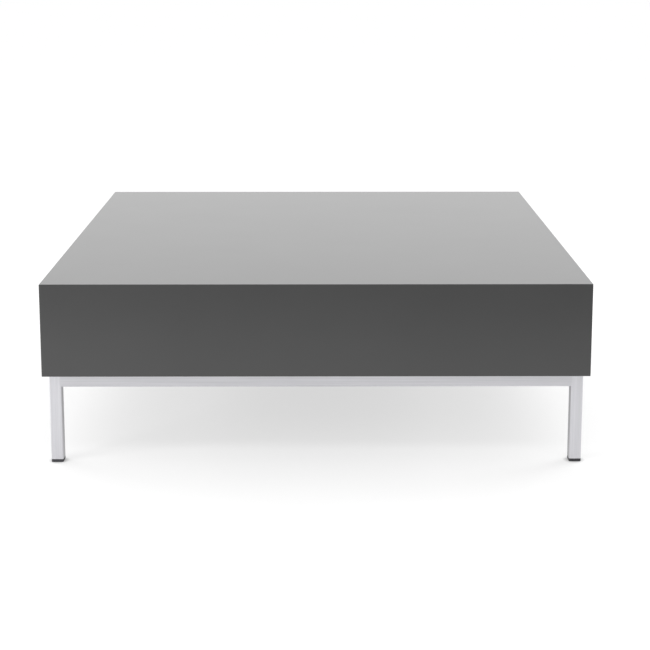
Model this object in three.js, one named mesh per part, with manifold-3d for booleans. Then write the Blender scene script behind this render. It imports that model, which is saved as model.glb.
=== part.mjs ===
// A low square coffee table: a thick lacquered block, hollow inside, on a slim frame of square steel tube.
// Millimetres. X runs across the front, Y from front to back, Z up.
// The origin lies on the floor under the middle of the table.

import * as THREE from "three";
import { RoundedBoxGeometry } from "three/addons/geometries/RoundedBoxGeometry.js";
import { mergeVertices } from "three/addons/utils/BufferGeometryUtils.js";
import Module from "manifold-3d";

const wasm = await Module();
wasm.setup();

// The whole table
const tableWidth = 900;
const tableDepth = 900;
const baseHeight = 150; // floor to the underside of the block
const blockHeight = 155;

// Clearances
const jointGap = 0.3; // between two faces that are glued, welded or pressed together
const boltHoleClearance = 1; // round a bolt's end, in the wood
const cutOverrun = 5; // how far a cutting solid runs past the face it opens
const weldDistance = 0.001; // vertices closer than this are one

// Boards of the block
const panelThickness = 19;
const arrisRadius = 1; // rounded outer edges
const bottomThickness = 12;
const rebateShare = 10 / 19; // of the panel's thickness, cut away inside for the bottom board
const splineWidthShare = 12 / 19; // of the panel's thickness, across the mitre
const splineThicknessShare = 3 / 19; // of the panel's thickness
const splinePlaceShare = 0.62; // of the way from the outer corner to the inner one
const topSplineSetback = 60; // from the block's corners to the ends of the splines along the top
const cornerSplineSetback = 8; // from the boards above and below to the upright splines' ends

// Ribs inside the block
const ribThickness = 12;
const bayCount = 3; // spaces between ribs, each way

// Steel frame
const frameInset = 10; // from the block's faces to the frame's
const tubeSize = 20;
const tubeWall = 1.5;
const tubeInnerRadius = 0.5; // inside corner of the tube

// Plates, bolts and inserts that hold the block
const plateThickness = 3;
const plateEdge = 4; // steel left past a bolt's head, at the plate's long edge
const boltRadius = 3;
const boltLength = 20;
const boltTip = 0.6; // chamfer at the bolt's end
const headRadius = 5.25;
const headHeight = 3.3;
const headRim = 0.7; // upright edge of the head, under its dome
const headFlatShare = 0.55; // flat of the dome, of the head's radius
const socketAcrossFlats = 4;
const socketDepth = 2;
const headClearance = 8; // from a rail to the side of a bolt's head
const boltStagger = 18; // the two bolts in a corner stand this far apart in X and in Y
const insertWall = 1.45;
const insertSetback = 1; // an insert ends this far below the bottom board's upper face
const insertChamfer = 0.4;
const blockEdge = 17; // wood left in a corner block past the farther bolt

// Plastic glides in the feet
const glideHeight = 5;
const glideBevel = 0.8;
const stemHeight = 18;
const stemCoreShare = 0.7; // of the tube's bore
const finCount = 3;
const finThickness = 1.6;

// Facets
const tubeCornerSteps = 3;
const roundSteps = 16;
const arrisSteps = 2;
const domeSteps = 3;
const hexagonSides = 6;

// Sizes and places that follow from those above
const blockTop = baseHeight + blockHeight;
const frameTop = baseHeight - jointGap;
const mitreSetback = jointGap / Math.SQRT2; // along a face, so that two mitres lie one gap apart
const rebateDepth = panelThickness * rebateShare;
const rebateHeight = bottomThickness + jointGap;
const splineWidth = panelThickness * splineWidthShare;
const splineThickness = panelThickness * splineThicknessShare;
const splinePlace = panelThickness * splinePlaceShare;
const insideWidth = tableWidth - 2 * panelThickness;
const insideDepth = tableDepth - 2 * panelThickness;
const insideFloor = baseHeight + bottomThickness;
const insideCeiling = blockTop - panelThickness;
const coreHeight = insideCeiling - insideFloor - 2 * jointGap;
const coreMiddle = (insideFloor + insideCeiling) / 2;
const tubeOuterRadius = tubeInnerRadius + tubeWall;
const tubeBore = tubeSize - 2 * tubeWall;
const frameInner = frameInset + tubeSize; // from the block's faces to the inner side of the frame
const nearBolt = headRadius + headClearance; // from the frame's inner side
const farBolt = nearBolt + boltStagger;
const plateSide = nearBolt + farBolt + (headRadius + plateEdge) * Math.SQRT2;
const plateUnderside = frameTop - plateThickness;
const boltSeat = plateUnderside - jointGap;
const boltClearRadius = boltRadius + jointGap;
const insertRadius = boltClearRadius + insertWall;
const insertLength = bottomThickness - insertSetback;
const cornerBlockSide = frameInner + farBolt + blockEdge - panelThickness;

// Finishes
const lacquerGrey = new THREE.MeshStandardMaterial({ color: 0x595959, roughness: 0.3, metalness: 0 });
const fibreboard = new THREE.MeshStandardMaterial({ color: 0xa98a63, roughness: 0.85, metalness: 0 });
const pine = new THREE.MeshStandardMaterial({ color: 0xd9b583, roughness: 0.75, metalness: 0 });
const plywood = new THREE.MeshStandardMaterial({ color: 0xc9a273, roughness: 0.75, metalness: 0 });
const brushedSteel = new THREE.MeshStandardMaterial({ color: 0xcfcdd2, roughness: 0.35, metalness: 1 });
const zincSteel = new THREE.MeshStandardMaterial({ color: 0xb4b6ba, roughness: 0.3, metalness: 1 });
const brass = new THREE.MeshStandardMaterial({ color: 0xc8a24e, roughness: 0.35, metalness: 1 });
const blackPlastic = new THREE.MeshStandardMaterial({ color: 0x2b2b2d, roughness: 0.6, metalness: 0 });

// A closed geometry as a solid that can be cut and joined.
function solidOf(geometry) {
  const bare = geometry.clone();
  bare.deleteAttribute("normal");
  bare.deleteAttribute("uv");
  const welded = mergeVertices(bare, weldDistance);
  const vertProperties = welded.attributes.position.array;
  const triVerts = new Uint32Array(welded.index.array);
  return new wasm.Manifold(new wasm.Mesh({ numProp: 3, vertProperties, triVerts }));
}

// A solid as a geometry with flat faces.
function geometryOf(solid) {
  const { vertProperties, triVerts } = solid.getMesh();
  const indexed = new THREE.BufferGeometry();
  indexed.setAttribute("position", new THREE.BufferAttribute(vertProperties, 3));
  indexed.setIndex(new THREE.BufferAttribute(triVerts, 1));
  const geometry = indexed.toNonIndexed();
  geometry.computeVertexNormals();
  return geometry;
}

function piece(name, geometry, material) {
  const mesh = new THREE.Mesh(geometry, material);
  mesh.name = name;
  return mesh;
}

// A prism: an outline in the XY plane, swept up along Z from zero.
function prism(outline, height) {
  const shape = new THREE.Shape(outline.map(([x, y]) => new THREE.Vector2(x, y)));
  return new THREE.ExtrudeGeometry(shape, { depth: height, bevelEnabled: false });
}

function roundedSquare(side, radius) {
  const shape = new THREE.Shape();
  addRoundedSquare(shape, side, radius);
  return shape;
}

// The four corner arcs of a rounded square, centred on zero; straight lines join them.
function addRoundedSquare(path, side, radius) {
  const reach = side / 2 - radius;
  const corners = [
    [reach, reach],
    [-reach, reach],
    [-reach, -reach],
    [reach, -reach],
  ];
  corners.forEach(([x, y], quarter) => {
    const start = (quarter * Math.PI) / 2;
    path.absarc(x, y, radius, start, start + Math.PI / 2, false);
  });
}

// A square tube of the frame's section, along Z and centred on zero.
function tube(length) {
  const section = roundedSquare(tubeSize, tubeOuterRadius);
  const bore = new THREE.Path();
  addRoundedSquare(bore, tubeBore, tubeInnerRadius);
  section.holes.push(bore);
  const settings = { depth: length, bevelEnabled: false, curveSegments: tubeCornerSteps };
  return new THREE.ExtrudeGeometry(section, settings).translate(0, 0, -length / 2);
}

// A cylinder along Z that starts at the given height.
function rod(radius, start, length) {
  const cylinder = new THREE.CylinderGeometry(radius, radius, length, roundSteps);
  return cylinder.rotateX(Math.PI / 2).translate(0, 0, start + length / 2);
}

// The block with its rounded edges, in the frame of one of its sides: X along the side from its
// middle, Y inwards from its face, Z up from its lower edge.
function roundedBlock(length, depth) {
  const block = new RoundedBoxGeometry(length, depth, blockHeight, arrisSteps, arrisRadius);
  return solidOf(block.translate(0, depth / 2, blockHeight / 2));
}

// A bar across a mitre, along Z: its wide side crosses the line at 45 degrees to X and Y.
function splineBar(width, thickness, length) {
  return new THREE.BoxGeometry(width, thickness, length).rotateZ(-Math.PI / 4);
}

// The groove for a spline leaves one gap all round it.
function splineGroove(length) {
  const slack = 2 * jointGap;
  return splineBar(splineWidth + slack, splineThickness + slack, length + slack);
}

const cornerSplineStart = rebateHeight + cornerSplineSetback;
const cornerSplineEnd = blockHeight - panelThickness - cornerSplineSetback;
const cornerSplineLength = cornerSplineEnd - cornerSplineStart;
const cornerSplineMiddle = (cornerSplineStart + cornerSplineEnd) / 2;

function topSplineLength(length) {
  return length - 2 * topSplineSetback;
}

// Lays a bar that runs along Z down into the mitre between a side and the top.
function laidAlongTopEdge(bar) {
  return bar.rotateY(Math.PI / 2).translate(0, splinePlace, blockHeight - splinePlace);
}

// One side of the block, in that side's frame: mitred at both ends and along its top, rebated
// inside its lower edge for the bottom board, and grooved for the splines.
function sidePanel(length, depth) {
  const section = [
    [0, 0],
    [panelThickness - rebateDepth, 0],
    [panelThickness - rebateDepth, rebateHeight],
    [panelThickness, rebateHeight],
    [panelThickness, blockHeight - panelThickness - mitreSetback],
    [0, blockHeight - mitreSetback],
  ];
  const outerHalf = length / 2 - mitreSetback;
  const innerHalf = outerHalf - panelThickness;
  const plan = [
    [-outerHalf, 0],
    [outerHalf, 0],
    [innerHalf, panelThickness],
    [-innerHalf, panelThickness],
  ];
  const swept = prism(section, length);
  swept.rotateX(Math.PI / 2);
  swept.rotateZ(Math.PI / 2);
  swept.translate(-length / 2, 0, 0);
  let panel = solidOf(swept).intersect(solidOf(prism(plan, blockHeight)));
  panel = panel.intersect(roundedBlock(length, depth));
  for (const end of [-1, 1]) {
    const groove = splineGroove(cornerSplineLength);
    groove.rotateZ(end > 0 ? Math.PI / 2 : 0);
    groove.translate(end * (length / 2 - splinePlace), splinePlace, cornerSplineMiddle);
    panel = panel.subtract(solidOf(groove));
  }
  const topGroove = laidAlongTopEdge(splineGroove(topSplineLength(length)));
  return geometryOf(panel.subtract(solidOf(topGroove)));
}

// A strip as wide as the table whose two long edges are mitred, for one direction of the top.
function mitredStrip(width, length) {
  const outerHalf = width / 2 - mitreSetback;
  const innerHalf = outerHalf - panelThickness;
  const outline = [
    [-innerHalf, 0],
    [innerHalf, 0],
    [outerHalf, panelThickness],
    [-outerHalf, panelThickness],
  ];
  return prism(outline, length).rotateX(Math.PI / 2).translate(0, length / 2, 0);
}

function topPanel() {
  const across = solidOf(mitredStrip(tableWidth, tableDepth));
  const along = solidOf(mitredStrip(tableDepth, tableWidth).rotateZ(Math.PI / 2));
  const block = new RoundedBoxGeometry(tableWidth, tableDepth, blockHeight, arrisSteps, arrisRadius);
  const outside = solidOf(block.translate(0, 0, panelThickness - blockHeight / 2));
  let panel = across.intersect(along).intersect(outside);
  for (const side of sides) {
    const groove = laidAlongTopEdge(splineGroove(topSplineLength(side.length)));
    groove.translate(0, -side.depth / 2, panelThickness - blockHeight);
    panel = panel.subtract(solidOf(groove.rotateZ(side.turn)));
  }
  return geometryOf(panel);
}

function bottomPanel() {
  const shortfall = 2 * (panelThickness - rebateDepth + jointGap);
  const board = new THREE.BoxGeometry(tableWidth - shortfall, tableDepth - shortfall, bottomThickness);
  let panel = solidOf(board.translate(0, 0, bottomThickness / 2));
  for (const corner of corners) {
    for (const place of boltPlaces) {
      const hole = rod(insertRadius + jointGap, -cutOverrun, bottomThickness + 2 * cutOverrun);
      hole.translate(place.x, place.y, 0).rotateZ(corner.turn).translate(corner.x, corner.y, 0);
      panel = panel.subtract(solidOf(hole));
    }
  }
  return geometryOf(panel);
}

// A rib along X, slotted over half its height where it crosses the ribs that run the other way.
function rib(length, slotSide) {
  let board = solidOf(new THREE.BoxGeometry(length - 2 * jointGap, ribThickness, coreHeight));
  const slotDepth = (coreHeight + jointGap) / 2;
  const cutHeight = slotDepth + cutOverrun;
  for (const place of ribPlaces(length)) {
    const slot = new THREE.BoxGeometry(ribThickness + 2 * jointGap, ribThickness + cutOverrun, cutHeight);
    const middle = slotSide * (coreHeight / 2 + cutOverrun - cutHeight / 2);
    board = board.subtract(solidOf(slot.translate(place, 0, middle)));
  }
  return geometryOf(board);
}

// Where the ribs stand along an inside length, so that all bays are alike.
function ribPlaces(length) {
  const places = [];
  for (let number = 1; number < bayCount; number += 1) {
    places.push((number / bayCount - 1 / 2) * length);
  }
  return places;
}

// A softwood block in an inner corner, with blind holes for the ends of the bolts.
function cornerBlock() {
  const side = cornerBlockSide - jointGap;
  const start = panelThickness + jointGap;
  const wood = new THREE.BoxGeometry(side, side, coreHeight);
  let block = solidOf(wood.translate(start + side / 2, start + side / 2, coreMiddle));
  const woodUnderside = insideFloor + jointGap;
  const boltEnd = boltSeat + boltLength;
  const drilledTo = Math.max(boltEnd, woodUnderside) + boltHoleClearance;
  const holeStart = woodUnderside - cutOverrun;
  for (const place of boltPlaces) {
    const hole = rod(boltRadius + boltHoleClearance, holeStart, drilledTo - holeStart);
    block = block.subtract(solidOf(hole.translate(place.x, place.y, 0)));
  }
  return geometryOf(block);
}

// The three-cornered plate welded into a corner of the frame, level with the frame's upper face.
function cornerPlate() {
  const start = frameInner + jointGap;
  const end = frameInner + plateSide;
  const outline = [
    [start, start],
    [end, start],
    [start, end],
  ];
  let plate = solidOf(prism(outline, plateThickness).translate(0, 0, plateUnderside));
  for (const place of boltPlaces) {
    const hole = rod(boltClearRadius, plateUnderside - cutOverrun, plateThickness + 2 * cutOverrun);
    plate = plate.subtract(solidOf(hole.translate(place.x, place.y, 0)));
  }
  return geometryOf(plate);
}

// A button-head bolt with a hexagon socket, pointing up, its seat at zero.
function bolt() {
  const profile = [new THREE.Vector2(0, -headHeight)];
  const flatRadius = headRadius * headFlatShare;
  for (let step = 0; step <= domeSteps; step += 1) {
    const angle = (step / domeSteps) * (Math.PI / 2);
    const radius = flatRadius + (headRadius - flatRadius) * Math.sin(angle);
    const height = -headRim - (headHeight - headRim) * Math.cos(angle);
    profile.push(new THREE.Vector2(radius, height));
  }
  profile.push(new THREE.Vector2(headRadius, 0));
  profile.push(new THREE.Vector2(boltRadius, 0));
  profile.push(new THREE.Vector2(boltRadius, boltLength - boltTip));
  profile.push(new THREE.Vector2(boltRadius - boltTip, boltLength));
  profile.push(new THREE.Vector2(0, boltLength));
  const turned = new THREE.LatheGeometry(profile, roundSteps).rotateX(Math.PI / 2);
  const cornerRadius = socketAcrossFlats / Math.sqrt(3);
  const cutLength = socketDepth + cutOverrun;
  const socket = new THREE.CylinderGeometry(cornerRadius, cornerRadius, cutLength, hexagonSides);
  socket.rotateX(Math.PI / 2).translate(0, 0, socketDepth - headHeight - cutLength / 2);
  return geometryOf(solidOf(turned).subtract(solidOf(socket)));
}

// A threaded insert for the bottom board, its lower face at zero.
function insert() {
  const chamferRadius = insertRadius - insertChamfer;
  const profile = [
    new THREE.Vector2(boltClearRadius, 0),
    new THREE.Vector2(chamferRadius, 0),
    new THREE.Vector2(insertRadius, insertChamfer),
    new THREE.Vector2(insertRadius, insertLength - insertChamfer),
    new THREE.Vector2(chamferRadius, insertLength),
    new THREE.Vector2(boltClearRadius, insertLength),
    new THREE.Vector2(boltClearRadius, 0),
  ];
  return new THREE.LatheGeometry(profile, roundSteps).rotateX(Math.PI / 2);
}

// A push-in glide: a bevelled foot as wide as the tube, and a stem with fins that fills its bore.
function glide() {
  const bevel = {
    depth: 2 * (glideHeight - glideBevel),
    bevelThickness: glideBevel,
    bevelSize: glideBevel,
    bevelOffset: -glideBevel,
    bevelSegments: arrisSteps,
    curveSegments: tubeCornerSteps,
  };
  const foot = new THREE.ExtrudeGeometry(roundedSquare(tubeSize, tubeOuterRadius), bevel);
  const upper = new THREE.BoxGeometry(tubeSize + cutOverrun, tubeSize + cutOverrun, 2 * glideHeight);
  let body = solidOf(foot.translate(0, 0, glideBevel));
  body = body.subtract(solidOf(upper.translate(0, 0, 2 * glideHeight)));
  const finSide = tubeBore - 2 * jointGap;
  const coreSide = tubeBore * stemCoreShare;
  const core = new THREE.BoxGeometry(coreSide, coreSide, glideHeight + stemHeight);
  body = body.add(solidOf(core.translate(0, 0, (glideHeight + stemHeight) / 2)));
  for (let number = 1; number <= finCount; number += 1) {
    const fin = new THREE.BoxGeometry(finSide, finSide, finThickness);
    const top = glideHeight + (stemHeight * number) / finCount;
    body = body.add(solidOf(fin.translate(0, 0, top - finThickness / 2)));
  }
  return geometryOf(body);
}

// The two bolts of a corner, from the table's outer corner, with X and Y pointing inwards.
const boltPlaces = [
  { name: "a", x: frameInner + nearBolt, y: frameInner + farBolt },
  { name: "b", x: frameInner + farBolt, y: frameInner + nearBolt },
];

// Each corner's turn points its own X and Y inwards.
const corners = [
  { name: "front_left", x: -tableWidth / 2, y: -tableDepth / 2, turn: 0 },
  { name: "front_right", x: tableWidth / 2, y: -tableDepth / 2, turn: Math.PI / 2 },
  { name: "back_right", x: tableWidth / 2, y: tableDepth / 2, turn: Math.PI },
  { name: "back_left", x: -tableWidth / 2, y: tableDepth / 2, turn: -Math.PI / 2 },
];

// Each side's turn points its own Y inwards. Its length is along the side, its depth square to it.
const sides = [
  { name: "front", x: 0, y: -tableDepth / 2, turn: 0, length: tableWidth, depth: tableDepth },
  { name: "right", x: tableWidth / 2, y: 0, turn: Math.PI / 2, length: tableDepth, depth: tableWidth },
  { name: "back", x: 0, y: tableDepth / 2, turn: Math.PI, length: tableWidth, depth: tableDepth },
  { name: "left", x: -tableWidth / 2, y: 0, turn: -Math.PI / 2, length: tableDepth, depth: tableWidth },
];

// What stands at one corner: foot, leg, plate, bolts, inserts, glue block and spline.
function cornerGroup(corner) {
  const group = new THREE.Group();
  group.position.set(corner.x, corner.y, 0);
  group.rotation.z = corner.turn;
  const tubeMiddle = frameInset + tubeSize / 2;
  const legBottom = glideHeight + jointGap;
  const foot = piece(`glide_${corner.name}`, glide(), blackPlastic);
  foot.position.set(tubeMiddle, tubeMiddle, 0);
  const leg = piece(`leg_${corner.name}`, tube(frameTop - legBottom), brushedSteel);
  leg.position.set(tubeMiddle, tubeMiddle, (frameTop + legBottom) / 2);
  const plate = piece(`corner_plate_${corner.name}`, cornerPlate(), brushedSteel);
  const block = piece(`corner_block_${corner.name}`, cornerBlock(), pine);
  const bar = splineBar(splineWidth, splineThickness, cornerSplineLength);
  const spline = piece(`corner_spline_${corner.name}`, bar, plywood);
  spline.position.set(splinePlace, splinePlace, baseHeight + cornerSplineMiddle);
  group.add(foot, leg, plate, block, spline);
  for (const place of boltPlaces) {
    const screw = piece(`bolt_${corner.name}_${place.name}`, bolt(), zincSteel);
    screw.position.set(place.x, place.y, boltSeat);
    const nut = piece(`insert_${corner.name}_${place.name}`, insert(), brass);
    nut.position.set(place.x, place.y, baseHeight);
    group.add(screw, nut);
  }
  return group;
}

// What runs along one side: the block's side board, its spline to the top, and the rail.
function sideGroup(side) {
  const group = new THREE.Group();
  group.position.set(side.x, side.y, 0);
  group.rotation.z = side.turn;
  const panel = piece(`${side.name}_panel`, sidePanel(side.length, side.depth), lacquerGrey);
  panel.position.z = baseHeight;
  const bar = splineBar(splineWidth, splineThickness, topSplineLength(side.length));
  const spline = piece(`top_spline_${side.name}`, laidAlongTopEdge(bar), plywood);
  spline.position.z = baseHeight;
  const railLength = side.length - 2 * (frameInner + jointGap);
  const rail = piece(`rail_${side.name}`, tube(railLength), brushedSteel);
  rail.rotation.y = Math.PI / 2;
  rail.position.set(0, frameInset + tubeSize / 2, frameTop - tubeSize / 2);
  group.add(panel, spline, rail);
  return group;
}

// The ribs inside the block: those along X are slotted from above, those along Y from below.
function ribGroup() {
  const group = new THREE.Group();
  group.position.z = coreMiddle;
  ribPlaces(insideDepth).forEach((place, index) => {
    const board = piece(`cross_rib_${index + 1}`, rib(insideWidth, 1), fibreboard);
    board.position.y = place;
    group.add(board);
  });
  ribPlaces(insideWidth).forEach((place, index) => {
    const board = piece(`long_rib_${index + 1}`, rib(insideDepth, -1), fibreboard);
    board.position.x = place;
    board.rotation.z = Math.PI / 2;
    group.add(board);
  });
  return group;
}

const table = new THREE.Group();
table.name = "coffee_table";
const top = piece("top_panel", topPanel(), lacquerGrey);
top.position.z = insideCeiling;
const bottom = piece("bottom_panel", bottomPanel(), lacquerGrey);
bottom.position.z = baseHeight;
table.add(top, bottom, ribGroup());
for (const side of sides) {
  table.add(sideGroup(side));
}
for (const corner of corners) {
  table.add(cornerGroup(corner));
}

export default table;
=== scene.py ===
import math

import bmesh
import bpy
from mathutils import Matrix, Vector


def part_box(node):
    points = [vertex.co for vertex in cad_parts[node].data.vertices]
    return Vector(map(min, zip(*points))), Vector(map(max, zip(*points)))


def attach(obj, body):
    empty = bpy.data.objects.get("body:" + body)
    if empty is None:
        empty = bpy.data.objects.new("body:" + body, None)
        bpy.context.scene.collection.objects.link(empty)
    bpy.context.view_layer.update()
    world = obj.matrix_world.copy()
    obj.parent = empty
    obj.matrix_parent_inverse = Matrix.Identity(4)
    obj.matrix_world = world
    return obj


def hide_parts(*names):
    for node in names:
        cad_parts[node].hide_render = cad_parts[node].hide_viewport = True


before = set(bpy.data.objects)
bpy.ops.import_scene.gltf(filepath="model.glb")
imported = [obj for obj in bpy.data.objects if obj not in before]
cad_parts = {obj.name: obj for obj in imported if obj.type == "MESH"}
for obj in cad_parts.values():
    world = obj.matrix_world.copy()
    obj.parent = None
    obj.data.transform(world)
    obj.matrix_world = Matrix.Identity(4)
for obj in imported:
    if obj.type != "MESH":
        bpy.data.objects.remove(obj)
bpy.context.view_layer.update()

MM = 0.001
CORNERS = ("front_left", "front_right", "back_right", "back_left")
SIDES = ("front", "right", "back", "left")
LETTERS = ("a", "b")  # of the two bolts, and the two weld beads, in a corner

# Sizes read from the frame
BLOCK_LOW = Vector([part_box("left_panel")[0].x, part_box("front_panel")[0].y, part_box("front_panel")[0].z])
BLOCK_HIGH = Vector([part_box("right_panel")[1].x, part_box("back_panel")[1].y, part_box("top_panel")[1].z])
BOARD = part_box("front_panel")[1].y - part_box("front_panel")[0].y
BOTTOM_LOW, BOTTOM_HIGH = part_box("bottom_panel")
LEG_LOW, LEG_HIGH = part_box("leg_front_left")
TUBE = LEG_HIGH.x - LEG_LOW.x
FRAME_INSET = LEG_LOW.x - BLOCK_LOW.x  # from the block's faces to the frame's
FRAME_TOP = LEG_HIGH.z
PLATE_LOW, PLATE_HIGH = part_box("corner_plate_front_left")
GLIDE_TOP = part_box("glide_front_left")[1].z
BOLT_LOW, BOLT_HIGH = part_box("bolt_front_left_a")

# Sizes of the block, the tubes and the plates
JOINT_GAP = 0.3 * MM  # between faces that are glued, welded or pressed together
ARRIS = 1.0 * MM  # rounded outer edges of the block
TUBE_WALL = 1.5 * MM
TUBE_RADIUS = 2.0 * MM  # outer corners of the tube
BORE = TUBE - 2 * TUBE_WALL
BORE_RADIUS = TUBE_RADIUS - TUBE_WALL
PLATE_EDGE = 0.35 * MM  # eased edges of the corner plates
CUT_TOLERANCE = 1e-7  # a point this close to a cut lies on it
MERGE_DISTANCE = 1e-6  # points this close are one

# Glides
FOOT_TOP = LEG_LOW.z - JOINT_GAP
FOOT_ROUND = 1.2 * MM  # lower edge of the foot
FOOT_RIM = 0.3 * MM  # bevel of its upper edge
STEM_CORE_SHARE = 0.7  # of the tube's bore
FIN_COUNT = 3
FIN_THICKNESS = 1.6 * MM
FIN_SLOPE_SHARE = 0.3  # of a fin's thickness, above and below its crest

# Bolts
HEAD_RADIUS = (BOLT_HIGH.x - BOLT_LOW.x) / 2
HEAD_HEIGHT = 3.3 * MM
HEAD_RIM = 0.7 * MM  # upright edge of the head, between its dome and its seat
HEAD_FLAT_SHARE = 0.55  # flat of the dome, of the head's radius
HEAD_BEVEL = 0.15 * MM  # edge of the head's seat
SHANK_RADIUS = 3.0 * MM
SHANK_LENGTH = BOLT_HIGH.z - BOLT_LOW.z - HEAD_HEIGHT
SHANK_BEVEL = 0.6 * MM
SOCKET = 4.0 * MM  # across flats
SOCKET_DEPTH = 2.0 * MM
SOCKET_BEVEL = 0.25 * MM  # round the mouth
SOCKET_FLOOR_SHARE = 0.98  # of the width, left at the floor
DRILL_POINT = 0.5 * MM  # below the socket's floor
DRILL_TIP = 0.2 * MM  # radius
CORNER_TURN = 0.7  # radians that a corner's bolts are turned past those of the one before
BOLT_TURN = 0.4  # and the second bolt past the first

# Weld beads
BEAD_SIZE = 1.6 * MM
BEAD_START = 8 * MM  # from the inner corner of the frame
BEAD_END_SHARE = 0.75  # of the plate's side, from the same corner
BEAD_PITCH = 1.3 * MM  # from one scale to the next
BEAD_RIPPLE_SHARE = 0.1  # of the bead's size
BEAD_TIP_SHARE = 0.35  # of the bead's size, left at its ends
BEAD_TIP_SLOPE = 6  # growth from the ends, in bead sizes to the bead's length
BEAD_ROOT_SHARE = 0.2  # of the bead's size, sunk into the corner

# Facets
ARRIS_STEPS = 6
TUBE_STEPS = 6
PLATE_EDGE_STEPS = 3
FOOT_STEPS = 4
DOME_STEPS = 7
ROUND_STEPS = 48
BEAD_STEPS = 3  # to a scale
BEAD_POINTS = 7  # across the bead
ROUND_ANGLES = [step / ROUND_STEPS * math.tau for step in range(ROUND_STEPS)]

# Angles in degrees. Edges past them stay sharp, or are eased on the corner plates.
SHARP_ANGLE = 40.0
BOLT_SHARP_ANGLE = 35.0
BEAD_SHARP_ANGLE = 60.0
PLATE_EDGE_ANGLE = 55.0
FLAT_ANGLE = 0.5  # faces within it are one flat face

# Depths of the finishes' relief
PEEL_DEPTH = 0.003 * MM
BRUSHED_DEPTH = 0.012 * MM
WELD_DEPTH = 0.04 * MM
MILL_DEPTH = 0.01 * MM
ZINC_DEPTH = 0.01 * MM
TURNED_DEPTH = 0.02 * MM
MOULDED_DEPTH = 0.03 * MM
FIBRE_DEPTH = 0.06 * MM
PORE_DEPTH = 0.05 * MM

# Most of a noise lies between these
NOISE_LOW = 0.3
NOISE_HIGH = 0.7


def matrix_from(turn, place):
    """A turn about Z and a move, as one matrix."""
    return Matrix.Translation(place) @ Matrix.Rotation(turn, 4, "Z")


def corner_matrix(index):
    """From a corner's own frame, with X and Y pointing inwards from the outer corner, to the table's."""
    place = (
        Vector((BLOCK_LOW.x, BLOCK_LOW.y, 0)),
        Vector((BLOCK_HIGH.x, BLOCK_LOW.y, 0)),
        Vector((BLOCK_HIGH.x, BLOCK_HIGH.y, 0)),
        Vector((BLOCK_LOW.x, BLOCK_HIGH.y, 0)),
    )[index]
    return matrix_from(index * math.pi / 2, place)


def side_matrix(index):
    """From a side's own frame, with X along it from its middle and Y pointing inwards, to the table's."""
    place = (
        Vector((0, BLOCK_LOW.y, 0)),
        Vector((BLOCK_HIGH.x, 0, 0)),
        Vector((0, BLOCK_HIGH.y, 0)),
        Vector((BLOCK_LOW.x, 0, 0)),
    )[index]
    return matrix_from(index * math.pi / 2, place)


# Node helpers


def add_node(tree, kind, **values):
    """A node of that kind. Values name its own properties, or else its input sockets."""
    made = tree.nodes.new(kind)
    for name, value in values.items():
        if hasattr(made, name):
            setattr(made, name, value)
        else:
            made.inputs[name.replace("_", " ")].default_value = value
    return made


def shader_inputs(material):
    return material.node_tree.nodes["Principled BSDF"].inputs


def new_finish(name, roughness, metallic=0.0, ior=1.5):
    material = bpy.data.materials.new(name)
    material.use_nodes = True
    inputs = shader_inputs(material)
    inputs["Roughness"].default_value = roughness
    inputs["Metallic"].default_value = metallic
    inputs["IOR"].default_value = ior
    return material


def object_point(tree, scale=(1.0, 1.0, 1.0)):
    """Object coordinates, stretched by scale. The objects sit at the origin, so these are metres."""
    source = add_node(tree, "ShaderNodeTexCoord")
    mapping = add_node(tree, "ShaderNodeMapping", Scale=scale)
    tree.links.new(source.outputs["Object"], mapping.inputs["Vector"])
    return mapping.outputs["Vector"]


def noise(tree, point, scale, detail=3.0, roughness=0.5):
    """Noise with about as many marks to the metre as scale says."""
    made = add_node(tree, "ShaderNodeTexNoise", Scale=scale, Detail=detail, Roughness=roughness)
    tree.links.new(point, made.inputs["Vector"])
    return made.outputs["Fac"]


def remap(tree, value, low, high, start=NOISE_LOW, end=NOISE_HIGH):
    """Goes from low to high while the value goes from start to end."""
    made = add_node(tree, "ShaderNodeMapRange", From_Min=start, From_Max=end, To_Min=low, To_Max=high)
    tree.links.new(value, made.inputs["Value"])
    return made.outputs["Result"]


def average(tree, first, second, share=0.5):
    """Both values mixed, with that share of the second."""
    made = add_node(tree, "ShaderNodeMix", data_type="FLOAT", Factor=share)
    tree.links.new(first, made.inputs["A"])
    tree.links.new(second, made.inputs["B"])
    return made.outputs["Result"]


def ramp(tree, value, dark, light, start=NOISE_LOW, end=NOISE_HIGH):
    """Goes from the dark colour to the light one while the value goes from start to end."""
    made = add_node(tree, "ShaderNodeValToRGB")
    stops = ((start, dark), (end, light))
    for element, (place, colour) in zip(made.color_ramp.elements, stops):
        element.position = place
        element.color = (*colour, 1.0)
    tree.links.new(value, made.inputs["Fac"])
    return made.outputs["Color"]


def dress(material, colour, roughness, height, depth):
    """Gives a finish its colour, its roughness and a relief of that depth."""
    tree = material.node_tree
    inputs = shader_inputs(material)
    relief = add_node(tree, "ShaderNodeBump", Distance=depth)
    tree.links.new(height, relief.inputs["Height"])
    tree.links.new(colour, inputs["Base Color"])
    tree.links.new(roughness, inputs["Roughness"])
    tree.links.new(relief.outputs["Normal"], inputs["Normal"])
    return material


# Finishes


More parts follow.
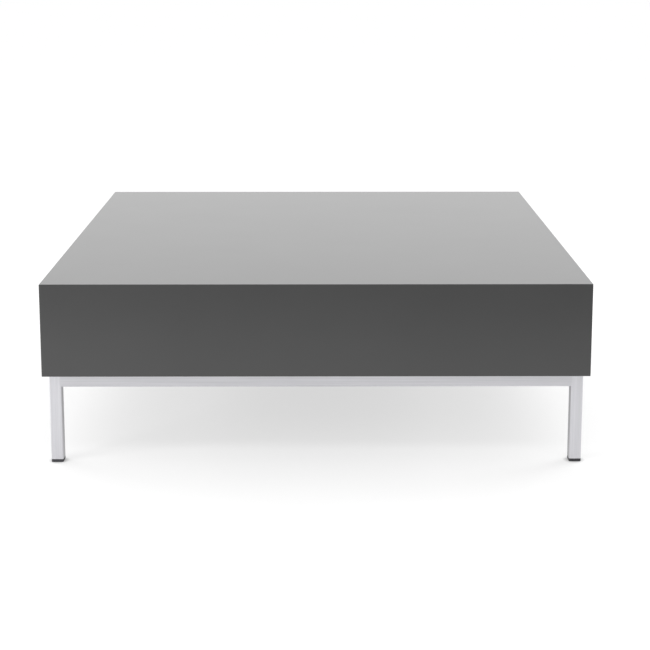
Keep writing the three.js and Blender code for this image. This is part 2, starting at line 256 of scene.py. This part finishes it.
def lacquer_finish():
    """Dark grey satin lacquer: a faint orange peel, and a colour that drifts by a hair."""
    material = new_finish("satin_grey_lacquer", roughness=0.28, ior=1.515)
    tree = material.node_tree
    point = object_point(tree)
    drift = noise(tree, point, scale=7.0, detail=2.0)
    haze = noise(tree, point, scale=11.0, detail=2.0)
    peel = noise(tree, point, scale=330.0, detail=2.0, roughness=0.45)
    grit = noise(tree, point, scale=2100.0, detail=1.0)
    dark = (0.0450, 0.0450, 0.0453)
    light = (0.0520, 0.0520, 0.0520)
    # Below 0.274 the denoiser takes the gloss for a mirror and leaves rings on the boards
    smoothest = 0.275
    roughest = 0.285
    return dress(
        material,
        colour=ramp(tree, drift, dark, light, start=0.0, end=1.0),
        roughness=remap(tree, haze, smoothest, roughest, start=0.0, end=1.0),
        height=average(tree, peel, grit, share=0.12),
        depth=PEEL_DEPTH,
    )


def painted_shade_mask(tree):
    """From 0 to 1, how far a face looks level towards the table's middle: the mask of the steel's painted
    shade.
    """
    place = add_node(tree, "ShaderNodeVectorMath", operation="NORMALIZE")
    tree.links.new(object_point(tree, scale=(1.0, 1.0, 0.0)), place.inputs[0])
    facing = add_node(tree, "ShaderNodeNewGeometry")
    agreement = add_node(tree, "ShaderNodeVectorMath", operation="DOT_PRODUCT")
    tree.links.new(place.outputs["Vector"], agreement.inputs[0])
    tree.links.new(facing.outputs["Normal"], agreement.inputs[1])
    return remap(tree, agreement.outputs["Value"], low=0.0, high=1.0, start=-0.3, end=-0.65)


def streaks(tree, axis, scale, stretch):
    """Noise drawn out along one axis to marks that are stretch times as long as wide."""
    squeeze = [1.0, 1.0, 1.0]
    squeeze[axis] = 1.0 / stretch
    return noise(tree, object_point(tree, squeeze), scale, roughness=0.6)


def brushed_finish(name, axis):
    """Stainless tube brushed along one axis, with long fine streaks. Faces turned inwards get painted shade:
    their colour is darkened to stand in for the dark under the table that they reflect.
    """
    material = new_finish(name, roughness=0.3, metallic=1.0)
    tree = material.node_tree
    broad = streaks(tree, axis, scale=330.0, stretch=80.0)
    fine = streaks(tree, axis, scale=1500.0, stretch=180.0)
    both = average(tree, broad, fine)
    colour = ramp(tree, both, dark=(0.53, 0.53, 0.552), light=(0.69, 0.685, 0.715))
    # Painted shade: the colour of faces turned towards the table's middle is darkened, while their roughness
    # stays as it is.
    inward_painted_shade = remap(tree, painted_shade_mask(tree), low=1.0, high=0.56, start=0.0, end=1.0)
    shaded = add_node(tree, "ShaderNodeVectorMath", operation="SCALE")
    tree.links.new(colour, shaded.inputs["Vector"])
    tree.links.new(inward_painted_shade, shaded.inputs["Scale"])
    grain = add_node(tree, "ShaderNodeTangent", direction_type="UV_MAP", uv_map="grain")
    inputs = shader_inputs(material)
    tree.links.new(grain.outputs["Tangent"], inputs["Tangent"])
    inputs["Anisotropic"].default_value = 0.4
    return dress(
        material,
        colour=shaded.outputs["Vector"],
        roughness=remap(tree, both, low=0.28, high=0.40),
        height=fine,
        depth=BRUSHED_DEPTH,
    )


def weld_finish():
    """Ground and dressed weld metal, a little duller than the tube."""
    material = new_finish("dressed_weld", roughness=0.4, metallic=1.0)
    tree = material.node_tree
    mottle = noise(tree, object_point(tree), scale=900.0, detail=4.0, roughness=0.6)
    return dress(
        material,
        colour=ramp(tree, mottle, dark=(0.44, 0.43, 0.44), light=(0.62, 0.61, 0.62)),
        roughness=remap(tree, mottle, low=0.32, high=0.5),
        height=mottle,
        depth=WELD_DEPTH,
    )


def mill_finish():
    """Cut plate with fine straight mill lines and a slightly uneven tone."""
    material = new_finish("mill_plate", roughness=0.42, metallic=1.0)
    tree = material.node_tree
    lines = noise(tree, object_point(tree, scale=(1.0, 0.03, 1.0)), scale=1400.0, roughness=0.6)
    cloud = noise(tree, object_point(tree), scale=60.0, detail=4.0)
    both = average(tree, lines, cloud)
    return dress(
        material,
        colour=ramp(tree, both, dark=(0.42, 0.42, 0.43), light=(0.58, 0.575, 0.59)),
        roughness=remap(tree, both, low=0.34, high=0.5),
        height=lines,
        depth=MILL_DEPTH,
    )


def zinc_finish():
    """Bright zinc plate with a faint warm and cool drift."""
    material = new_finish("zinc_plate", roughness=0.28, metallic=1.0)
    tree = material.node_tree
    point = object_point(tree)
    film = noise(tree, point, scale=240.0)
    haze = noise(tree, point, scale=900.0)
    return dress(
        material,
        colour=ramp(tree, film, dark=(0.50, 0.52, 0.56), light=(0.62, 0.60, 0.56)),
        roughness=remap(tree, haze, low=0.22, high=0.36),
        height=noise(tree, point, scale=2600.0, detail=2.0),
        depth=ZINC_DEPTH,
    )


def brass_finish():
    """Turned brass with fine tool rings."""
    material = new_finish("turned_brass", roughness=0.32, metallic=1.0)
    tree = material.node_tree
    rings = noise(tree, object_point(tree, scale=(0.05, 0.05, 1.0)), scale=3200.0, detail=2.0)
    return dress(
        material,
        colour=ramp(tree, rings, dark=(0.56, 0.40, 0.15), light=(0.68, 0.50, 0.21)),
        roughness=remap(tree, rings, low=0.26, high=0.4),
        height=rings,
        depth=TURNED_DEPTH,
    )


def plastic_finish():
    """Black moulded plastic with a fine matt grain and scuffed places."""
    material = new_finish("black_plastic", roughness=0.5)
    tree = material.node_tree
    point = object_point(tree)
    scuff = noise(tree, point, scale=160.0, detail=4.0, roughness=0.6)
    dark = (0.020, 0.020, 0.023)
    light = (0.040, 0.040, 0.046)
    return dress(
        material,
        colour=ramp(tree, scuff, dark, light, start=0.35, end=0.75),
        roughness=remap(tree, scuff, low=0.42, high=0.6),
        height=noise(tree, point, scale=2400.0),
        depth=MOULDED_DEPTH,
    )


def fibreboard_finish():
    """Raw fibreboard: short fibres in warm tan, dull all over."""
    material = new_finish("raw_fibreboard", roughness=0.8)
    tree = material.node_tree
    fibres = noise(tree, object_point(tree, scale=(1.0, 0.35, 1.0)), scale=900.0, detail=5.0, roughness=0.7)
    cloud = noise(tree, object_point(tree), scale=18.0)
    both = average(tree, fibres, cloud, share=0.35)
    return dress(
        material,
        colour=ramp(tree, both, dark=(0.30, 0.20, 0.115), light=(0.46, 0.33, 0.21)),
        roughness=remap(tree, fibres, low=0.74, high=0.9),
        height=fibres,
        depth=FIBRE_DEPTH,
    )


def wood_finish(name, dark, light, ring_scale):
    """Straight-grained planed wood, its grain along Z."""
    material = new_finish(name, roughness=0.6)
    tree = material.node_tree
    rings = add_node(
        tree, "ShaderNodeTexWave", bands_direction="X", Scale=ring_scale, Distortion=5.0, Detail=3.0
    )
    tree.links.new(object_point(tree, scale=(1.0, 1.0, 0.08)), rings.inputs["Vector"])
    pores = noise(tree, object_point(tree, scale=(1.0, 1.0, 0.04)), scale=1300.0, detail=4.0, roughness=0.65)
    both = average(tree, rings.outputs["Fac"], pores)
    return dress(
        material,
        colour=ramp(tree, both, dark, light, end=0.75),
        roughness=remap(tree, pores, low=0.52, high=0.7),
        height=pores,
        depth=PORE_DEPTH,
    )


LACQUER = lacquer_finish()
STEEL = [brushed_finish(f"brushed_steel_{letter}", axis) for axis, letter in enumerate("xyz")]
WELD = weld_finish()
PLATE = mill_finish()
ZINC = zinc_finish()
BRASS = brass_finish()
PLASTIC = plastic_finish()
FIBREBOARD = fibreboard_finish()
PINE = wood_finish("planed_pine", dark=(0.50, 0.32, 0.15), light=(0.70, 0.52, 0.31), ring_scale=45.0)
PLYWOOD = wood_finish("sanded_plywood", dark=(0.44, 0.29, 0.15), light=(0.64, 0.47, 0.28), ring_scale=160.0)


# Mesh helpers


def new_piece(name, mesh, material, nodes=(), sharp_angle=SHARP_ANGLE):
    """A visible piece that rides on the one body and stands for the named nodes."""
    mesh.name = name
    mesh.materials.clear()
    mesh.materials.append(material)
    mesh.polygons.foreach_set("use_smooth", [True] * len(mesh.polygons))
    mesh.set_sharp_from_angle(angle=math.radians(sharp_angle))
    made = bpy.data.objects.new(name, mesh)
    bpy.context.scene.collection.objects.link(made)
    weighted = made.modifiers.new("flat_faces_stay_flat", "WEIGHTED_NORMAL")
    weighted.keep_sharp = True
    weighted.weight = 100  # the most that the larger face can count
    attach(made, "root")
    if nodes:
        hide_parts(*nodes)


def mesh_from(bm, name="mesh"):
    bmesh.ops.recalc_face_normals(bm, faces=bm.faces)
    mesh = bpy.data.meshes.new(name)
    bm.to_mesh(mesh)
    bm.free()
    return mesh


def cut_away(bm, place, outward):
    """Cuts off what lies past a plane, and closes the cut."""
    geometry = bm.verts[:] + bm.edges[:] + bm.faces[:]
    cut = bmesh.ops.bisect_plane(
        bm, geom=geometry, dist=CUT_TOLERANCE, plane_co=place, plane_no=outward, clear_outer=True
    )
    rim = [item for item in cut["geom_cut"] if isinstance(item, bmesh.types.BMEdge)]
    bmesh.ops.edgeloop_fill(bm, edges=rim)


def listed_by_place(mesh):
    """The mesh built anew from its points and faces, listed by where they lie.

    A cut lists them in any order, and carries over normals from its cutters that spoil the sharp edges.
    """
    points = [tuple(vertex.co) for vertex in mesh.vertices]
    order = sorted(range(len(points)), key=points.__getitem__)
    rank = {old: new for new, old in enumerate(order)}
    faces = []
    for polygon in mesh.polygons:
        loop = [rank[vertex] for vertex in polygon.vertices]
        first = loop.index(min(loop))
        faces.append(loop[first:] + loop[:first])
    bpy.data.meshes.remove(mesh)
    listed = bpy.data.meshes.new("listed")
    listed.from_pydata([points[old] for old in order], [], sorted(faces))
    return listed


def subtract(mesh, cutters):
    """The mesh less the cutters, all closed. The cutters are used up."""
    scene = bpy.context.scene
    body = bpy.data.objects.new("body", mesh)
    scene.collection.objects.link(body)
    tools = []
    for cutter in cutters:
        tool = bpy.data.objects.new("tool", cutter)
        scene.collection.objects.link(tool)
        step = body.modifiers.new("cut", "BOOLEAN")
        step.operation = "DIFFERENCE"
        step.solver = "EXACT"
        step.object = tool
        tools.append(tool)
    graph = bpy.context.evaluated_depsgraph_get()
    result = bpy.data.meshes.new_from_object(body.evaluated_get(graph), depsgraph=graph)
    for item in (*tools, body):
        data = item.data
        bpy.data.objects.remove(item)
        bpy.data.meshes.remove(data)
    return listed_by_place(result)


def box_between(low, high):
    bm = bmesh.new()
    bmesh.ops.create_cube(bm, size=1.0)
    size = high - low
    middle = (high + low) / 2
    bm.transform(Matrix.Translation(middle) @ Matrix.Diagonal((*size, 1.0)))
    return bm


def loft(rings, close_ends=True):
    """A skin through rings of as many points each. A closed loop of rings needs no end faces."""
    bm = bmesh.new()
    rows = [[bm.verts.new(point) for point in ring] for ring in rings]
    pairs = list(zip(rows, rows[1:]))
    if not close_ends:
        pairs.append((rows[-1], rows[0]))
    for lower, upper in pairs:
        for index in range(len(lower)):
            following = (index + 1) % len(lower)
            bm.faces.new((lower[index], lower[following], upper[following], upper[index]))
    if close_ends:
        bm.faces.new(rows[0])
        bm.faces.new(rows[-1])
    return bm


def rounded_square(side, radius, height):
    points = []
    reach = side / 2 - radius
    for quarter in range(4):
        middle = math.pi / 4 + quarter * math.pi / 2
        centre = Vector((math.copysign(reach, math.cos(middle)), math.copysign(reach, math.sin(middle))))
        for step in range(TUBE_STEPS + 1):
            angle = middle - math.pi / 4 + step / TUBE_STEPS * math.pi / 2
            x = centre.x + radius * math.cos(angle)
            y = centre.y + radius * math.sin(angle)
            points.append(Vector((x, y, height)))
    return points


def point_at(angle, radius, height):
    return Vector((radius * math.cos(angle), radius * math.sin(angle), height))


def circle(radius, height):
    return [point_at(angle, radius, height) for angle in ROUND_ANGLES]


def hexagon(across_flats, height):
    points = []
    for angle in ROUND_ANGLES:
        from_flat = (angle % (math.pi / 3)) - math.pi / 6
        points.append(point_at(angle, across_flats / 2 / math.cos(from_flat), height))
    return points


# The block


def mitred_board(index):
    """One side of the block, or its top, cut out of the rounded block along its mitres."""
    bm = box_between(BLOCK_LOW, BLOCK_HIGH)
    bmesh.ops.bevel(bm, geom=bm.edges[:], offset=ARRIS, segments=ARRIS_STEPS, profile=0.5, affect="EDGES")
    faces = (
        (Vector((0, -1, 0)), BLOCK_LOW),
        (Vector((1, 0, 0)), BLOCK_HIGH),
        (Vector((0, 1, 0)), BLOCK_HIGH),
        (Vector((-1, 0, 0)), BLOCK_LOW),
        (Vector((0, 0, 1)), BLOCK_HIGH),
    )
    own, own_place = faces[index]
    for outward, place in faces:
        if own.dot(outward) == 0:
            corner = Vector([place[k] if outward[k] else own_place[k] for k in range(3)])
            cut_away(bm, corner, outward - own)
    cut_away(bm, own_place - own * BOARD, -own)
    return mesh_from(bm)


def groove_cutter(node):
    """A spline's mesh, grown by the joint's gap on every side to cut its own groove."""
    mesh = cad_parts[node].data.copy()
    mesh.materials.clear()
    low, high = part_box(node)
    middle = (low + high) / 2
    bm = bmesh.new()
    bm.from_mesh(mesh)
    bmesh.ops.remove_doubles(bm, verts=bm.verts, dist=MERGE_DISTANCE)
    for vert in bm.verts:
        offset = vert.co - middle
        vert.co += Vector([math.copysign(JOINT_GAP, part) if part else 0 for part in offset])
    bm.to_mesh(mesh)
    bm.free()
    return mesh


def block_pieces():
    """The lacquered boards, grooved for their splines, and the side ones rebated for the bottom board."""
    gap = Vector((JOINT_GAP, JOINT_GAP, JOINT_GAP))
    below = Vector((JOINT_GAP, JOINT_GAP, BOARD))
    rebate = mesh_from(box_between(BOTTOM_LOW - below, BOTTOM_HIGH + gap))
    for index, side in enumerate(SIDES):
        ends = (CORNERS[index], CORNERS[(index + 1) % len(CORNERS)])
        cutters = [rebate.copy(), groove_cutter(f"top_spline_{side}")]
        cutters += [groove_cutter(f"corner_spline_{end}") for end in ends]
        board = subtract(mitred_board(index), cutters)
        new_piece(f"lacquered_{side}_board", board, LACQUER, [f"{side}_panel"])
    cutters = [groove_cutter(f"top_spline_{side}") for side in SIDES]
    board = subtract(mitred_board(len(SIDES)), cutters)
    new_piece("lacquered_top_board", board, LACQUER, ["top_panel"])
    bpy.data.meshes.remove(rebate)


# The steel frame


def tube_mesh(length, matrix):
    """A square tube with rounded corners, along the matrix's Z.

    Its UV map runs across the grain, then along it.
    """
    outer = [rounded_square(TUBE, TUBE_RADIUS, height) for height in (0, length)]
    inner = [rounded_square(BORE, BORE_RADIUS, height) for height in (length, 0)]
    bm = loft(outer + inner, close_ends=False)
    grain = bm.loops.layers.uv.new("grain")
    for face in bm.faces:
        for loop in face.loops:
            angle = math.atan2(loop.vert.co.y, loop.vert.co.x)
            loop[grain].uv = (angle * TUBE, loop.vert.co.z)
    bm.transform(matrix)
    return mesh_from(bm)


def frame_pieces():
    """Four legs, and four rails that run into the legs' rounded corners, so that the welds look flush."""
    middle = FRAME_INSET + TUBE / 2
    for index, corner in enumerate(CORNERS):
        place = corner_matrix(index) @ Matrix.Translation((middle, middle, LEG_LOW.z))
        leg = tube_mesh(FRAME_TOP - LEG_LOW.z, place)
        new_piece(f"brushed_leg_{corner}", leg, STEEL[2], [f"leg_{corner}"])
    for index, side in enumerate(SIDES):
        axis = index % 2
        span = BLOCK_HIGH[axis] - BLOCK_LOW[axis]
        length = span - 2 * (FRAME_INSET + TUBE - TUBE_RADIUS)
        place = side_matrix(index) @ Matrix.Translation((-length / 2, middle, FRAME_TOP - TUBE / 2))
        rail = tube_mesh(length, place @ Matrix.Rotation(math.pi / 2, 4, "Y"))
        new_piece(f"brushed_rail_{side}", rail, STEEL[axis], [f"rail_{side}"])


# Glides, bolts and welds


def glide_mesh(matrix):
    """The foot of a glide with its softened rim, and the finned stem in the tube."""
    core = BORE * STEM_CORE_SHARE
    fin = BORE - 2 * JOINT_GAP
    rings = []
    for step in range(FOOT_STEPS + 1):
        angle = step / FOOT_STEPS * math.pi / 2
        shrink = FOOT_ROUND * (1 - math.sin(angle))
        height = FOOT_ROUND * (1 - math.cos(angle))
        rings.append(rounded_square(TUBE - 2 * shrink, TUBE_RADIUS, height))
    rings.append(rounded_square(TUBE, TUBE_RADIUS, FOOT_TOP - FOOT_RIM))
    rings.append(rounded_square(TUBE - 2 * FOOT_RIM, TUBE_RADIUS, FOOT_TOP))
    rings.append(rounded_square(core, BORE_RADIUS, FOOT_TOP))
    for number in range(1, FIN_COUNT + 1):
        top = FOOT_TOP + (GLIDE_TOP - FOOT_TOP) * number / FIN_COUNT
        rings.append(rounded_square(core, BORE_RADIUS, top - FIN_THICKNESS))
        rings.append(rounded_square(fin, BORE_RADIUS, top - FIN_THICKNESS * (1 - FIN_SLOPE_SHARE)))
        rings.append(rounded_square(fin, BORE_RADIUS, top - FIN_THICKNESS * FIN_SLOPE_SHARE))
        rings.append(rounded_square(core, BORE_RADIUS, top))
    bm = loft(rings)
    bm.transform(matrix)
    return mesh_from(bm)


def bolt_mesh(matrix):
    """A button-head bolt with a domed head and a hexagon socket, pointing up, its seat at zero."""
    socket_floor = -HEAD_HEIGHT + SOCKET_DEPTH
    rings = [circle(DRILL_TIP, socket_floor + DRILL_POINT)]
    rings.append(hexagon(SOCKET * SOCKET_FLOOR_SHARE, socket_floor))
    rings.append(hexagon(SOCKET, -HEAD_HEIGHT + SOCKET_BEVEL))
    rings.append(hexagon(SOCKET + 2 * SOCKET_BEVEL, -HEAD_HEIGHT))
    for step in range(DOME_STEPS + 1):
        angle = step / DOME_STEPS * math.pi / 2
        radius = HEAD_RADIUS * (HEAD_FLAT_SHARE + (1 - HEAD_FLAT_SHARE) * math.sin(angle))
        rings.append(circle(radius, -HEAD_RIM - (HEAD_HEIGHT - HEAD_RIM) * math.cos(angle)))
    rings.append(circle(HEAD_RADIUS, -HEAD_BEVEL))
    rings.append(circle(HEAD_RADIUS - HEAD_BEVEL, 0))
    rings.append(circle(SHANK_RADIUS, 0))
    rings.append(circle(SHANK_RADIUS, SHANK_LENGTH - SHANK_BEVEL))
    rings.append(circle(SHANK_RADIUS - SHANK_BEVEL, SHANK_LENGTH))
    bm = loft(rings)
    bm.transform(matrix)
    return mesh_from(bm)


def fitting_pieces():
    """A glide and two bolts in each corner. The bolts' sockets are left turned as they came tight."""
    for index, corner in enumerate(CORNERS):
        low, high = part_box(f"glide_{corner}")
        place = Matrix.Translation(((low.x + high.x) / 2, (low.y + high.y) / 2, 0))
        new_piece(f"foot_glide_{corner}", glide_mesh(place), PLASTIC, [f"glide_{corner}"])
        for number, letter in enumerate(LETTERS):
            node = f"bolt_{corner}_{letter}"
            low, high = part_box(node)
            seat = low.z + HEAD_HEIGHT
            place = Matrix.Translation(((low.x + high.x) / 2, (low.y + high.y) / 2, seat))
            place = place @ Matrix.Rotation(index * CORNER_TURN + number * BOLT_TURN, 4, "Z")
            new_piece(f"button_{node}", bolt_mesh(place), ZINC, [node], BOLT_SHARP_ANGLE)


def weld_bead(start, end, outward):
    """A short run of weld along an inside corner: overlapping scales under a rounded face."""
    run = end - start
    length = run.length
    along = run.normalized()
    up = Vector((0, 0, 1))
    count = max(2, round(length / BEAD_PITCH))
    steps = count * BEAD_STEPS
    rings = []
    for step in range(steps + 1):
        share = step / steps
        scale = 1 + BEAD_RIPPLE_SHARE * math.cos(step / BEAD_STEPS * math.tau)
        from_start = BEAD_TIP_SLOPE * share + BEAD_TIP_SHARE
        from_end = BEAD_TIP_SLOPE * (1 - share) + BEAD_TIP_SHARE
        reach = BEAD_SIZE * scale * min(1.0, from_start, from_end)
        middle = start + along * length * share
        section = []
        for k in range(BEAD_POINTS):
            angle = k / (BEAD_POINTS - 1) * math.pi / 2
            section.append(middle + outward * reach * math.cos(angle) - up * reach * math.sin(angle))
        root = BEAD_SIZE * BEAD_ROOT_SHARE
        section.append(middle - outward * root + up * root)
        rings.append(section)
    return loft(rings)


def weld_pieces():
    """Two beads under each corner plate, one along each rail that it is welded to."""
    inset = FRAME_INSET + TUBE
    under = PLATE_LOW.z
    near = inset + BEAD_START
    far = inset + (PLATE_HIGH.x - PLATE_LOW.x) * BEAD_END_SHARE
    runs = (
        (Vector((near, inset, under)), Vector((far, inset, under)), Vector((0, 1, 0))),
        (Vector((inset, near, under)), Vector((inset, far, under)), Vector((1, 0, 0))),
    )
    for index, corner in enumerate(CORNERS):
        for letter, (start, end, outward) in zip(LETTERS, runs):
            bead = weld_bead(start, end, outward)
            bead.transform(corner_matrix(index))
            name = f"weld_bead_{corner}_{letter}"
            new_piece(name, mesh_from(bead), WELD, sharp_angle=BEAD_SHARP_ANGLE)


# Corner plates


def eased_plate(node):
    """A corner plate with its edges eased. Its triangles stand apart in the frame and are joined first."""
    bm = bmesh.new()
    bm.from_mesh(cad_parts[node].data)
    bmesh.ops.remove_doubles(bm, verts=bm.verts, dist=MERGE_DISTANCE)
    bmesh.ops.dissolve_limit(bm, angle_limit=math.radians(FLAT_ANGLE), verts=bm.verts, edges=bm.edges)
    limit = math.radians(PLATE_EDGE_ANGLE)
    edges = [edge for edge in bm.edges if edge.calc_face_angle() > limit]
    bmesh.ops.bevel(
        bm, geom=edges, offset=PLATE_EDGE, segments=PLATE_EDGE_STEPS, profile=0.5, affect="EDGES"
    )
    return listed_by_place(mesh_from(bm))


def plate_pieces():
    for corner in CORNERS:
        node = f"corner_plate_{corner}"
        plate = eased_plate(node)
        new_piece(f"eased_{node}", plate, PLATE, [node], sharp_angle=PLATE_EDGE_ANGLE)


# CAD nodes that keep their own shape get their finish


def finish_node(name, material):
    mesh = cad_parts[name].data
    mesh.materials.clear()
    mesh.materials.append(material)


def finish_cad_nodes():
    finish_node("bottom_panel", LACQUER)
    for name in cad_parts:
        if name.startswith(("cross_rib", "long_rib")):
            finish_node(name, FIBREBOARD)
        elif name.startswith("corner_block"):
            finish_node(name, PINE)
        elif "_spline_" in name:
            finish_node(name, PLYWOOD)
        elif name.startswith("insert"):
            finish_node(name, BRASS)


# Studio


def glow_with_painted_foot_shadows(tree, glow):
    """The floor's glow, cut down close to each foot as a painted contact shadow. The table stands square
    round the origin.
    """
    least_share = 0.35  # of the glow, under a foot
    near_share = 0.4  # of the tube's width, from the foot's middle: the glow is least up to here
    far_share = 0.95  # and full from here on
    foot = (LEG_LOW + LEG_HIGH) / 2
    folded = add_node(tree, "ShaderNodeVectorMath", operation="ABSOLUTE")
    tree.links.new(object_point(tree), folded.inputs[0])
    distance = add_node(tree, "ShaderNodeVectorMath", operation="DISTANCE")
    tree.links.new(folded.outputs["Vector"], distance.inputs[0])
    distance.inputs[1].default_value = (abs(foot.x), abs(foot.y), 0.0)
    near = TUBE * near_share
    far = TUBE * far_share
    return remap(tree, distance.outputs["Value"], glow * least_share, glow, start=near, end=far)


def studio_floor():
    """A pale floor that glows from below, like a light table, so that shadows on it stay soft and light."""
    reach = 40.0
    cells = 8
    albedo = 0.42
    drift = 0.005
    glow = 0.595
    bm = bmesh.new()
    bmesh.ops.create_grid(bm, x_segments=cells, y_segments=cells, size=reach)
    mesh = mesh_from(bm, "studio_floor")
    material = new_finish("pale_floor", roughness=0.9)
    tree = material.node_tree
    tone = noise(tree, object_point(tree), scale=3.0)
    colour = ramp(tree, tone, dark=(albedo - drift,) * 3, light=(albedo + drift,) * 3)
    inputs = shader_inputs(material)
    tree.links.new(colour, inputs["Base Color"])
    inputs["Specular IOR Level"].default_value = 0.0
    inputs["Emission Color"].default_value = (1.0, 1.0, 1.0, 1.0)
    # The glow is cut down round each foot: a painted contact shadow.
    tree.links.new(glow_with_painted_foot_shadows(tree, glow), inputs["Emission Strength"])
    material.cycles.emission_sampling = "NONE"
    mesh.materials.append(material)
    floor = bpy.data.objects.new("studio_floor", mesh)
    bpy.context.scene.collection.objects.link(floor)


def dark_card():
    """A black card before the table that only gloss sees. It deepens the front face's upper half."""
    left = -1.6
    right = 2.4
    near = -2.8
    far = -1.35
    lift = 0.004
    outline = [(left, near, lift), (right, near, lift), (right, far, lift), (left, far, lift)]
    mesh = bpy.data.meshes.new("dark_card")
    mesh.from_pydata(outline, [], [tuple(range(len(outline)))])
    material = new_finish("black_card", roughness=1.0)
    inputs = shader_inputs(material)
    inputs["Base Color"].default_value = (0.02, 0.02, 0.02, 1.0)
    inputs["Specular IOR Level"].default_value = 0.0
    mesh.materials.append(material)
    card = bpy.data.objects.new("dark_card", mesh)
    bpy.context.scene.collection.objects.link(card)
    card.visible_camera = False
    card.visible_diffuse = False
    card.visible_shadow = False


def area_light(name, place, target, size, watts):
    data = bpy.data.lights.new(name, "AREA")
    data.shape = "RECTANGLE"
    data.size, data.size_y = size
    data.energy = watts
    made = bpy.data.objects.new(name, data)
    bpy.context.scene.collection.objects.link(made)
    made.location = place
    made.rotation_mode = "QUATERNION"
    made.rotation_quaternion = (Vector(target) - Vector(place)).to_track_quat("-Z", "Y")
    made.visible_camera = False


def white_studio():
    """A white room that lights the table most from behind. The camera sees it plain white all round."""
    seen = 1.1
    front = 0.5
    back = 1.57
    blend_start = -0.3
    blend_end = 0.5
    world = bpy.data.worlds.new("white_studio")
    world.use_nodes = True
    tree = world.node_tree
    direction = add_node(tree, "ShaderNodeTexCoord")
    backwards = add_node(tree, "ShaderNodeSeparateXYZ")
    tree.links.new(direction.outputs["Generated"], backwards.inputs["Vector"])
    glow = add_node(
        tree,
        "ShaderNodeMapRange",
        interpolation_type="SMOOTHSTEP",
        From_Min=blend_start,
        From_Max=blend_end,
        To_Min=front,
        To_Max=back,
    )
    tree.links.new(backwards.outputs["Y"], glow.inputs["Value"])
    path = add_node(tree, "ShaderNodeLightPath")
    chosen = add_node(tree, "ShaderNodeMix", data_type="FLOAT", B=seen)
    tree.links.new(path.outputs["Is Camera Ray"], chosen.inputs["Factor"])
    tree.links.new(glow.outputs["Result"], chosen.inputs["A"])
    background = tree.nodes["Background"]
    background.inputs["Color"].default_value = (1.0, 1.0, 1.0, 1.0)
    tree.links.new(chosen.outputs["Result"], background.inputs["Strength"])
    bpy.context.scene.world = world


def studio_light():
    """The room, a long lamp above the front, a softbox low on the left, and a weak lamp on each side."""
    white_studio()
    area_light(
        "front_strip_above", place=(0.0, -2.2, 2.9), target=(0.0, -0.4, 0.1), size=(4.5, 0.8), watts=25.0
    )
    area_light(
        "low_softbox_left", place=(-2.2, -1.6, 0.6), target=(-0.2, -0.4, 0.15), size=(1.2, 0.9), watts=37.0
    )
    for name, side, watts in (("side_strip_left", -1, 5.5), ("side_strip_right", 1, 10.5)):
        place = (side * 1.7, 0.5, 0.6)
        target = (side * 0.4, 0.1, 0.0)
        area_light(name, place, target, size=(0.8, 0.4), watts=watts)


def photograph_camera():
    """The photograph's viewpoint: a little above the table, with a modest downward shift of the frame."""
    place = (0.0054, -2.7531, 0.8474)
    look_down = math.radians(9.742)
    look_right = math.radians(0.220)
    frame_shift = -0.20
    frame_pixels = 650
    focal_pixels = 1457.0
    sensor_mm = 36.0
    data = bpy.data.cameras.new("photograph_camera")
    data.sensor_width = sensor_mm
    data.lens = focal_pixels / frame_pixels * sensor_mm
    data.shift_y = frame_shift
    data.clip_start = 0.05
    data.clip_end = 100.0
    made = bpy.data.objects.new("photograph_camera", data)
    bpy.context.scene.collection.objects.link(made)
    made.location = place
    made.rotation_euler = (math.pi / 2 - look_down, 0, -look_right)
    bpy.context.scene.camera = made


photograph_camera()
block_pieces()
frame_pieces()
fitting_pieces()
weld_pieces()
plate_pieces()
finish_cad_nodes()
studio_floor()
dark_card()
studio_light()
bpy.context.scene.view_settings.view_transform = "Standard"
bpy.context.scene.view_settings.look = "None"
